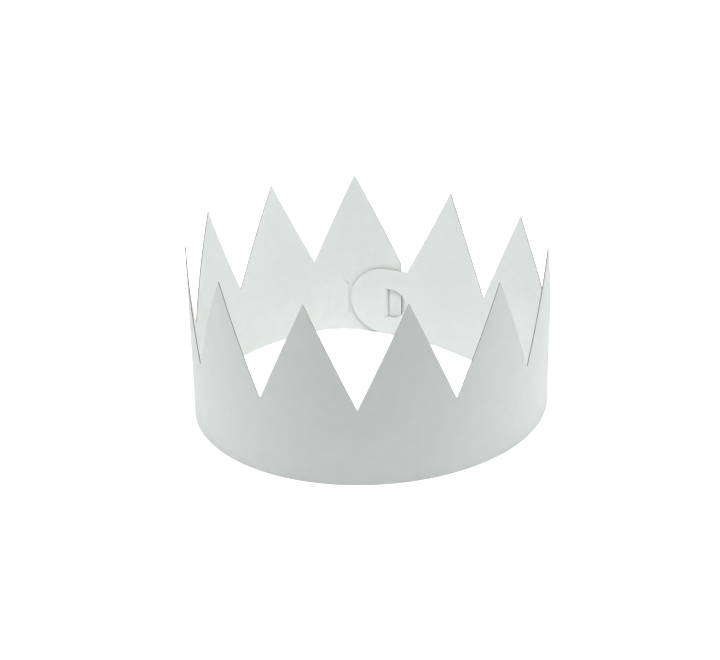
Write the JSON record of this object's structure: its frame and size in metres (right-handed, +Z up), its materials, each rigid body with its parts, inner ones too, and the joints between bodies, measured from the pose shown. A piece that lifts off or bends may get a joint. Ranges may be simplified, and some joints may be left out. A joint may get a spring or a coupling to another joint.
{
  "type": "paper crown",
  "caption": "Paper crown cut from a strip of white card, with tall pointed spikes, bent into a ring and closed by a tab whose tongue hooks through a slit.",
  "frame": {"origin": "on the ground under the middle of the crown's bounding box", "axes": "+Z up, spikes upwards; -Y is the front, and the lock is at the back, +Y, with the outer end of the strip running clockwise as seen from above"},
  "size_m": [0.2, 0.1922, 0.1015],
  "materials": {
    "white_card": "matt uncoated white card"
  },
  "bodies": {
    "root": {"paper_crown": "white_card"}
  },
  "joints": []
}
